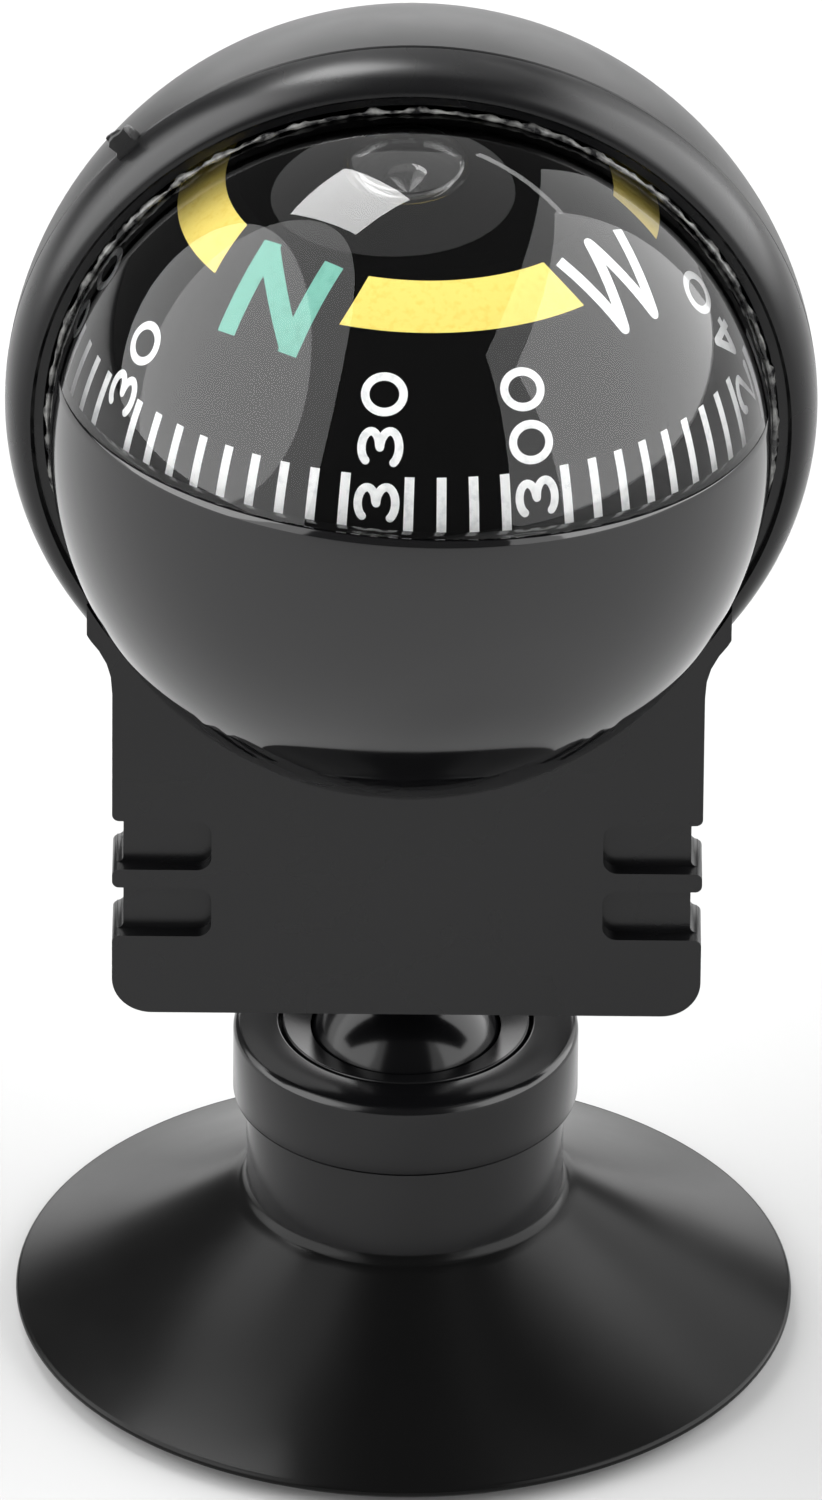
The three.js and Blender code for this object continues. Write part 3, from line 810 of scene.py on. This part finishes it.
boss = {
    "radius": 3.0,
    "footZ": 18.22,
    "topZ": 26.87,
    "chinHalfWidth": 9.0,
    "chinZ": (26.39, 28.39),
    "chinGap": 0.16,  # to the crease behind it
    "sunk": 0.6,  # of the web and the chin in the plate
    "edge": 0.25,
}


def makeBoss(look):
    # round boss for the stud, its web to the plate, and the chin between plate and rim
    bm = bmesh.new()
    edge = look["edge"]
    drawPath(
        bm, (0, look["footZ"]),
        (look["radius"] - edge, look["footZ"]),
        (look["radius"] - edge, look["footZ"] + edge, 90, 4),
        (look["radius"], look["topZ"] - edge),
        (look["radius"] - edge, look["topZ"] - edge, 90, 4),
        (0, look["topZ"]),
    )
    spinOnStand(bm, 72)
    base = toObject(bm, "boss_round")
    blocks = []
    frontY = plate["frontY"] + plate["thickness"] - look["sunk"]
    for name, halfWidth, bottom, top, backY in (
            ("web", look["radius"], look["footZ"], look["topZ"], place["axisY"]),
            ("chin", look["chinHalfWidth"], *look["chinZ"], place["axisY"] - look["chinGap"])):
        bm = bmesh.new()
        addBlock(bm, 2 * halfWidth, backY - frontY, top - bottom)
        shiftMesh(bm, (0, (backY + frontY) / 2, (top + bottom) / 2))
        roundEdges(bm, bm.edges[:], edge, 3)
        blocks.append(toObject(bm, name))
    bm = booleanResult(base, blocks, "UNION")
    flattenFaces(finishPiece(bm, "stud_boss", "head", "satinAbs", ["front_frame"]))


makeBoss(boss)
print("front frame made")


# Hood

hood = {
    "radius": 16.89,
    "wall": 0.9,
    "centreY": 0.035,
    "creaseGap": 0.06,
    "edge": 0.05,
}


def makeHood(look):
    bm = bmesh.new()
    centre = look["centreY"] - place["axisY"]
    inner = look["radius"] - look["wall"]
    frontZ, edge = look["creaseGap"], look["edge"]
    innerAngle = riseAngle(frontZ - centre, inner)
    outerX = reachAt(riseAngle(frontZ - centre, look["radius"]), look["radius"])
    outerAngle = math.degrees(math.atan2(frontZ + edge - centre, outerX))
    drawPath(
        bm, (0, centre + inner),
        (0, centre, innerAngle - 90, 48),
        (outerX - edge, frontZ),
        (outerX, frontZ + edge),
        (0, centre, 90 - outerAngle, 60),
    )
    spinOnRim(bm, 192)
    finishPiece(bm, "rear_hood", "head", "hoodAbs", ["hood_shell"])


makeHood(hood)

glue = {
    "radius": 15.06,
    "thickness": 0.2,
    "wobble": 0.14,
    "behindFront": 0.12,  # behind the rim's front edge
    "coarse": 1.1,  # lumps, as a scale on millimetres
    "fine": 3.1,
    "fineShare": 0.6,
    "girth": 0.55,  # between its lumps, in shares of the thickness
    "swell": 0.9,
    "thinnest": -0.35,
}


def makeGlueBead(look):
    # a careless bead of cement that holds the ball in the rim
    bm = bmesh.new()
    drawPath(bm, (look["radius"] + look["thickness"], 0), (look["radius"], 0, 360, 10))
    spinRound(bm, 420)
    turnMesh(bm, -90, "X")
    for vert in bm.verts:
        fine = noise.noise(vert.co * look["fine"])
        lumps = noise.noise(vert.co * look["coarse"]) + look["fineShare"] * fine
        core = Vector((vert.co.x, 0, vert.co.z)).normalized() * look["radius"]
        girth = look["girth"] + look["swell"] * max(lumps, look["thinnest"])
        vert.co = core + (vert.co - core) * girth + Vector((0, lumps * look["wobble"], 0))
    shiftMesh(bm, (0, place["axisY"] - rim["depth"] + look["behindFront"], place["ballZ"]))
    finishPiece(bm, "glue_bead", "head", "driedCement")


makeGlueBead(glue)

gate = {
    "angle": 134.0,  # degrees round the rim from the right
    "width": 1.15,
    "height": 0.8,
    "root": 0.5,  # how deep it goes into the rim
    "depth": 0.9,
    "setBack": 0.25,  # of its back behind the crease
    "edge": 0.12,
    "roundedFrom": 0.7,  # radians between two faces
    "tornFrom": 0.1,  # from the middle of its height
    "tearScale": 2.3,
    "tearStart": Vector((4.1, 0.7, 2.2)),
    "tear": 0.3,
    "narrowing": 0.86,
}


def makeGateTab(look):
    # the stub left where the frame was broken off its sprue
    bm = bmesh.new()
    addBlock(bm, look["height"] + look["root"], look["depth"], look["width"])
    bmesh.ops.subdivide_edges(bm, edges=bm.edges[:], cuts=3, use_grid_fill=True)
    for vert in bm.verts:
        if vert.co.x > look["tornFrom"]:
            torn = look["tear"] * noise.noise(vert.co * look["tearScale"] + look["tearStart"])
            vert.co.x += torn
            vert.co.z *= look["narrowing"] + torn
    rounded = [edge for edge in bm.edges if edge.calc_face_angle(0) > look["roundedFrom"]]
    roundEdges(bm, rounded, look["edge"], 2)
    shiftMesh(bm, (rim["radius"] + (look["height"] - look["root"]) / 2, 0, 0))
    turnMesh(bm, -look["angle"], "Y")
    shiftMesh(bm, (0, place["axisY"] - look["depth"] / 2 + look["setBack"], place["ballZ"]))
    finishPiece(bm, "gate_stub", "head", "satinAbs", sharpAngle=50)


makeGateTab(gate)


# Ball: black lower shell, clear shell with its liquid

def toSeam(bm):
    # from the seam's own upright frame to its slant and place
    turnMesh(bm, -place["seamPitch"], "X")
    turnMesh(bm, place["seamRoll"], "Y")
    shiftMesh(bm, ballCentre)


lowerShell = {
    "edge": 0.08,  # round of the seam's edge
    "edgeShare": 0.35,  # of it, in and down, to the round's middle point
}


def makeLowerShell(look):
    bm = bmesh.new()
    radius, seam, edge = place["ballRadius"], place["seamRise"], look["edge"]
    inner = radius - place["shellWall"]
    topAngle = riseAngle(seam - edge, radius)
    topX = reachAt(topAngle, radius)
    innerAngle = riseAngle(seam, inner)
    drawPath(
        bm, (0, -radius),
        (0, 0, 90 + topAngle, 90),
        (topX - edge * look["edgeShare"], seam - edge * look["edgeShare"]),
        (topX - edge, seam),
        (reachAt(innerAngle, inner), seam),
        (0, 0, -90 - innerAngle, 70),
    )
    spinRound(bm, 240)
    toSeam(bm)
    finishPiece(bm, "ball_bowl", "head", "polishedStyrene", ["ball_lower_shell"])


makeLowerShell(lowerShell)

clearShell = {
    "seamLift": 0.02,
    "edge": 0.05,
    "sunkRadius": 14.4,  # the liquid meets the black shell without a film of air
    "sunkDepth": 0.3,
}

bubble = {
    "topRadius": 13.9,  # its top hugs the inside of the clear shell
    "topSweep": 8.9,  # degrees
    "edgeRound": 0.5,
    "edgeTurn": 150,  # degrees that its edge is round for
    "footZ": 11.9,
    "footSag": 0.42,
    "lean": 6.0,  # degrees in front of the top, as photographed
    "sideLean": 1.0,
}


def makeBubble(look):
    bm = bmesh.new()
    sweep, edge, edgeTurn = look["topSweep"], look["edgeRound"], look["edgeTurn"]
    reach = look["topRadius"] - edge
    edgeX, edgeZ = reach * math.sin(math.radians(sweep)), reach * math.cos(math.radians(sweep))
    down = math.radians(90 - sweep - edgeTurn)
    edgeEnd = (edgeX + edge * math.cos(down), edgeZ + edge * math.sin(down))
    drawPath(bm, (0, look["topRadius"]), (0, 0, -sweep, 16), (edgeX, edgeZ, -edgeTurn, 20),
             saggingArc(edgeEnd, (0, look["footZ"]), -look["footSag"], 20))
    spinRound(bm, 120)
    bmesh.ops.reverse_faces(bm, faces=bm.faces[:])
    turnMesh(bm, -look["sideLean"], "Y")
    turnMesh(bm, look["lean"], "X")
    shiftMesh(bm, ballCentre)
    return bm


def makeClearShell(look, air):
    bm = bmesh.new()
    radius, edge = place["ballRadius"], look["edge"]
    footZ = place["seamRise"] + look["seamLift"]
    footAngle = riseAngle(footZ + edge, radius)
    sunkZ = place["seamRise"] - look["sunkDepth"]
    sunkAngle = riseAngle(sunkZ, look["sunkRadius"])
    drawPath(
        bm, (0, radius),
        (0, 0, footAngle - 90, 80),
        (reachAt(footAngle, radius) - edge, footZ),
        (reachAt(sunkAngle, look["sunkRadius"]), sunkZ),
        (0, 0, -90 - sunkAngle, 70),
    )
    spinRound(bm, 240)
    toSeam(bm)
    joinInto(bm, makeBubble(air))  # air is a hollow in the liquid, so its faces look inwards
    finishPiece(bm, "clear_shell_and_liquid", "head", "clearAcrylic", ["ball_upper_shell"])


makeClearShell(clearShell, bubble)
print("hood and ball made")


# Dial

dial = {
    "radius": 12.5,
    "wall": 0.7,
    "skirt": 2.0,
    "flatRise": 10.5,
    "inkLift": 0.02,
    "inkThickness": 0.02,
    "ribbonShare": 0.12,  # thickness of a bent stroke in shares of its width
    "cutPitch": 0.45,  # flat ink is cut this finely before it bends with the dome
    "cuts": 6,  # each way from the middle
}


def toDial(bm):
    # from the dial's own upright frame to its lean and place
    turnMesh(bm, place["dialRoll"], "Y")
    turnMesh(bm, -place["dialLean"], "X")
    shiftMesh(bm, ballCentre)


def makeDial(look):
    bm = bmesh.new()
    radius, foot, top = look["radius"], -look["skirt"], look["flatRise"]
    inner, innerTop = radius - look["wall"], top - look["wall"]
    footAngle = riseAngle(foot, radius)
    innerFootAngle, innerTopAngle = riseAngle(foot, inner), riseAngle(innerTop, inner)
    drawPath(
        bm, (reachAt(innerFootAngle, inner), foot),
        (reachAt(footAngle, radius), foot),
        (0, 0, riseAngle(top, radius) - footAngle, 48),
        (0, top),
        (0, innerTop),
        (reachAt(innerTopAngle, inner), innerTop),
        (0, 0, innerFootAngle - innerTopAngle, 36),
    )
    spinRound(bm, 180)
    toDial(bm)
    finishPiece(bm, "dial_card", "dial", "immersedAbs", ["dial_dome"])


makeDial(dial)

marks = {
    "tickStep": 6,  # degrees of heading
    "tickTop": 19.0,  # degrees of latitude, with its foot at 0
    "tickWidth": 0.38,
    "numbers": (30, 60, 120, 150, 210, 240, 300, 330),
    "numberHeight": 1.76,
    "numberStroke": 0.33,
    "numberLatitudes": {3: (14.0, 24.0, 33.5), 2: (17.9, 27.6)},  # of three digits and of two
    "letterHeight": 4.05,
    # heading of its middle, latitude, stroke, lean in degrees
    "letters": {"N": (2.3, 46.9, 0.84, -1.5), "E": (90, 46.5, 0.5, 0), "S": (182, 46.5, 0.5, 0),
                "W": (263.2, 46.0, 0.5, 5.5)},
    "arcs": ((279.5, 341), (26, 80), (100, 170), (190, 236)),
    "arcLatitudes": (45.0, 55.0),
    "arcFlare": 2.2,  # degrees that the foot of each end runs out past its middle
}

# Strokes in shares of the character's height, x to the right and z up from its middle. A stroke is
# a start and its moves, as in drawPath, and the last number widens the whole character.
characters = {
    "0": ((((0.425, 0.0), (0, 0, 360, 32)),), 0.93),
    "1": ((((-0.2, 0.24), (0.0, 0.425), (0.0, -0.425)),), 0.9),
    "2": ((((-0.215, 0.24), (0, 0.215, -185, 18), (-0.24, -0.425), (0.24, -0.425)),), 1.6),
    "3": ((((-0.175, 0.30), (0, 0.2125, -238, 20)), ((0.0, 0.0), (0, -0.2125, -238, 20))), 1.75),
    "4": ((((0.12, -0.425), (0.12, 0.425), (-0.3, -0.17), (0.3, -0.17)),), 1.3),
    "5": ((((0.19, 0.425), (-0.16, 0.425), (-0.19, 0.04), (-0.02, 0.1), (-0.02, -0.165, -235, 20)),), 1.5),
    "6": ((((0.13, 0.425), (-0.2, 0.05), (-0.245, -0.18), (0, -0.18, 360, 24)),), 1.4),
    "N": ((((-0.36, -0.5), (-0.36, 0.5)), ((-0.36, 0.43), (0.36, -0.43)), ((0.36, -0.5), (0.36, 0.5))), 1.0),
    "E": ((((0.3, 0.43), (-0.3, 0.43), (-0.3, -0.43), (0.3, -0.43)), ((-0.3, 0.0), (0.24, 0.0))), 1.0),
    "S": ((((0.2, 0.27), (0, 0.215, 255, 22), (0, -0.215, -255, 22)),), 1.45),
    "W": ((((-0.46, 0.43), (-0.23, -0.43), (0.0, 0.43), (0.23, -0.43), (0.46, 0.43)),), 1.0),
}


def aroundDial(bm, heading, verts=None):
    # from the front of the dial round to a heading of its scale
    turnMesh(bm, place["dialHeading"] - heading, "Z", verts)


def inkBar(bm, first, last, width):
    # a straight bar of ink from one point to the next
    along = last - first
    corners = addBlock(bm, along.length, dial["inkThickness"], width)
    turnMesh(bm, -math.degrees(math.atan2(along.z, along.x)), "Y", corners)
    shiftMesh(bm, (first + last) / 2, corners)


def inkStroke(start, moves, width, height, widen):
    # ink along a drawn line: square bars with round joints, or a bent line with round ends
    wire = bmesh.new()
    drawPath(wire, start, *moves)
    bmesh.ops.scale(wire, verts=wire.verts[:], vec=(height * widen, height, height))
    weldMesh(wire)
    straight = all(len(move) == 2 for move in moves)
    joints = [vert.co.copy() for vert in wire.verts if len(vert.link_edges) == (2 if straight else 1)]
    flatten = (1, dial["ribbonShare"], 1)
    if straight:
        bm = bmesh.new()
        for edge in wire.edges:
            inkBar(bm, edge.verts[0].co, edge.verts[1].co, width)
        wire.free()
    else:
        line = toObject(wire, "line")
        with bpy.context.temp_override(active_object=line, object=line, selected_objects=[line],
                                       selected_editable_objects=[line]):
            bpy.ops.object.convert(target="CURVE")
        line.data.bevel_depth = width / 2
        line.data.bevel_resolution = 2
        line.data.dimensions = "3D"
        bm = evaluated(line)
        bpy.data.curves.remove(line.data)
        bmesh.ops.scale(bm, verts=bm.verts[:], vec=flatten)
    for spot in joints:
        made = bmesh.ops.create_uvsphere(bm, u_segments=12, v_segments=6, radius=width / 2)["verts"]
        bmesh.ops.scale(bm, verts=made, vec=flatten)
        shiftMesh(bm, spot, made)
    return bm


def layOnDial(target, flat, heading, latitude, quarterTurns=0, lean=0.0):
    # turns flat ink drawn in XZ and presses it onto the dial, as a pad prints it
    turnMesh(flat, lean - 90 * quarterTurns, "Y")
    for axis in (Vector((1, 0, 0)), Vector((0, 0, 1))):
        for number in range(-dial["cuts"], dial["cuts"] + 1):
            bmesh.ops.bisect_plane(flat, geom=flat.verts[:] + flat.edges[:] + flat.faces[:], dist=weld / 5,
                                   plane_co=axis * number * dial["cutPitch"], plane_no=axis)
    for vert in flat.verts:
        radius = dial["radius"] + dial["inkLift"] / 2 - vert.co.y
        side, rise = vert.co.x / dial["radius"], vert.co.z / dial["radius"]
        out = math.cos(side)
        vert.co = Vector((math.sin(side), -out * math.cos(rise), out * math.sin(rise))) * radius
    turnMesh(flat, -latitude, "X")
    aroundDial(flat, heading)
    joinInto(target, flat)


def printCharacter(target, character, height, width, heading, latitude, **turned):
    strokes, widen = characters[character]
    for start, *moves in strokes:
        layOnDial(target, inkStroke(start, moves, width, height, widen), heading, latitude, **turned)


def printTicks(target, look):
    # one short line on the front meridian, repeated round the dial where no number stands
    bm = bmesh.new()
    radius = dial["radius"] + dial["inkLift"]
    top = math.radians(look["tickTop"])
    half = look["tickWidth"] / 2
    ends = [bm.verts.new((x, -radius * math.cos(top), radius * math.sin(top))) for x in (-half, half)]
    edge = bm.edges.new(ends)
    bmesh.ops.spin(bm, geom=[edge, *ends], cent=(0, 0, 0), axis=(1, 0, 0), angle=top, steps=8)
    bmesh.ops.solidify(bm, geom=bm.faces[:], thickness=dial["inkThickness"])
    faceOutwards(bm)
    for heading in range(0, 360, look["tickStep"]):
        if heading not in look["numbers"]:
            tick = bm.copy()
            aroundDial(tick, heading)
            joinInto(target, tick)
    bm.free()


def printArc(target, fromHeading, toHeading, look):
    bm = bmesh.new()
    radius = dial["radius"] + dial["inkLift"]
    span = toHeading - fromHeading
    foot, top = look["arcLatitudes"]
    start = bm.verts.new((0, -radius * math.cos(math.radians(foot)), radius * math.sin(math.radians(foot))))
    bmesh.ops.spin(bm, geom=[start], cent=(0, 0, 0), axis=(-1, 0, 0), angle=math.radians(top - foot), steps=6)
    bmesh.ops.spin(bm, geom=bm.verts[:] + bm.edges[:], cent=(0, 0, 0), axis=(0, 0, -1),
                   angle=math.radians(span), steps=48)
    # the ends are cut on a slant, wider at the foot
    for vert in bm.verts:
        along = -math.degrees(math.atan2(vert.co.x, -vert.co.y))
        endwards = (along / span - 0.5) * 2
        upwards = (riseAngle(vert.co.z, radius) - foot) / (top - foot)
        slant = look["arcFlare"] * endwards * (1 - 2 * upwards)
        vert.co.rotate(Matrix.Rotation(math.radians(-slant), 3, "Z"))
    aroundDial(bm, fromHeading)
    bmesh.ops.solidify(bm, geom=bm.faces[:], thickness=dial["inkThickness"])
    faceOutwards(bm)
    joinInto(target, bm)


def makeMarks(look):
    prints = {colour: bmesh.new() for colour in ("white", "mint", "yellow")}
    printTicks(prints["white"], look)
    for heading in look["numbers"]:
        text = str(heading)
        for digit, latitude in zip(text, look["numberLatitudes"][len(text)]):
            printCharacter(prints["white"], digit, look["numberHeight"], look["numberStroke"],
                           heading, latitude, quarterTurns=1)
    for letter, (heading, latitude, width, lean) in look["letters"].items():
        target = prints["mint" if letter == "N" else "white"]
        printCharacter(target, letter, look["letterHeight"], width, heading, latitude, lean=lean)
    for fromHeading, toHeading in look["arcs"]:
        printArc(prints["yellow"], fromHeading, toHeading, look)
    for colour, bm in prints.items():
        toDial(bm)
        finishPiece(bm, f"print_{colour}", "dial", f"{colour}Ink", sharpAngle=60)


makeMarks(marks)
print("dial made")


# Solids that stay as they are, with their finish

kept = {
    "friction_pad": "nitrileRubber",
    "fill_plug": "nitrileRubber",
    "pivot_post": "satinAbs",
    "pivot_pin": "groundSteel",
    "jewel_cup": "turnedBrass",
    "dial_floor": "immersedAbs",
    "magnet_left": "pressedFerrite",
    "magnet_right": "pressedFerrite",
}
for name, material in kept.items():
    slots = nodes[name].data.materials
    slots.clear()
    slots.append(finish[material])
print("inner solids finished")


# Floor, lights and surround

studio = {
    "floorColour": "#aeaeae",
    "floorRoughness": 0.9,
    "floorGloss": 0.1,
    "floorSize": 6.0,  # metres
    "surround": 0.12,  # brightness of the world in reflections
    "backdrop": 0.95,  # and to the camera
    # name: centre in metres, width and height, brightness, what it faces, turn in degrees
    "boxes": {
        "leftBox": ((-0.99, -0.16, 0.806), (1.95, 1.86), 2.7, (0, -0.16, 0.806), 0),
        "leftHalo": ((-1.01, -0.48, 1.494), (2.4, 4.16), 2.2, (0, -0.48, 1.494), 15),
        "rightBox": ((0.99, 0.016, 0.678), (1.82, 1.33), 3.0, (0, 0.016, 0.678), 0),
        "rightHalo": ((1.01, 0.064, 0.742), (3.17, 2.11), 1.9, (0, 0.064, 0.742), -12),
        "backBox": ((0, 1.5, 0.36), (1.36, 0.72), 2.3, (0, 0, 0.36), 0),
        "topBox": ((-0.16, 0.25, 0.6), (0.205, 0.25), 13.0, (0, 0, 0.06), 9),
        "backStrip": ((0.315, 0.5, 0.6), (0.33, 0.026), 4.0, (0, 0, 0.06), 0),
        "ceilingPanel": ((-0.05, 0.32, 0.62), (0.68, 0.76), 0.8, (0, 0, 0.06), 9),
        "frontFill": ((0.1, -1.3, 1.1), (1.0, 1.0), 0.72, (0, 0, 0.04), 0),
    },
    "round": ("leftBox", "leftHalo", "ceilingPanel"),
    "unmirrored": ("frontFill",),  # brighten the print and don't show in gloss
}


def paperSweep(tree, look):
    # matt coated paper: an even pale ground without a shine
    return addNode(tree, "ShaderNodeBsdfPrincipled", {
        "Base Color": toLinear(look["floorColour"]), "Roughness": look["floorRoughness"],
        "Specular IOR Level": look["floorGloss"]})


def makeFloor(look):
    bm = bmesh.new()
    bmesh.ops.create_grid(bm, x_segments=1, y_segments=1, size=look["floorSize"] / 2)
    floor = toObject(bm, "floor")
    makeMaterial("paperSweep", paperSweep, look)
    floor.data.materials.append(finish["paperSweep"])


def addBox(look, name, centre, size, brightness, aim, turn):
    # a softbox of even brightness, hidden from the camera
    data = bpy.data.lights.new(name, "AREA")
    data.size, data.size_y = size
    area = size[0] * size[1]
    data.shape = "RECTANGLE"
    if name in look["round"]:
        data.shape = "ELLIPSE"
        area *= math.pi / 4
    data.energy = brightness * math.pi * area
    lamp = newObject(name, data)
    facing = (Vector(aim) - Vector(centre)).to_track_quat("-Z", "Y").to_matrix()
    turned = facing @ Matrix.Rotation(math.radians(turn), 3, "Z")
    lamp.matrix_world = Matrix.Translation(centre) @ turned.to_4x4()
    lamp.visible_camera = False
    lamp.visible_glossy = name not in look["unmirrored"]


def makeWorld(look):
    # dim in reflections and pale to the camera
    world = bpy.data.worlds.new("studio")
    bpy.context.scene.world = world
    world.use_nodes = True
    tree = world.node_tree
    tree.nodes.clear()
    dim, pale = (addNode(tree, "ShaderNodeBackground", {"Color": (1, 1, 1, 1), "Strength": look[part]})
                 for part in ("surround", "backdrop"))
    path = addNode(tree, "ShaderNodeLightPath")
    mixed = addNode(tree, "ShaderNodeMixShader", {}, {
        0: path.outputs["Is Camera Ray"], 1: dim.outputs[0], 2: pale.outputs[0]})
    addNode(tree, "ShaderNodeOutputWorld", {}, {"Surface": mixed.outputs[0]})


makeFloor(studio)
makeWorld(studio)
for name, box in studio["boxes"].items():
    addBox(studio, name, *box)
print("studio made")
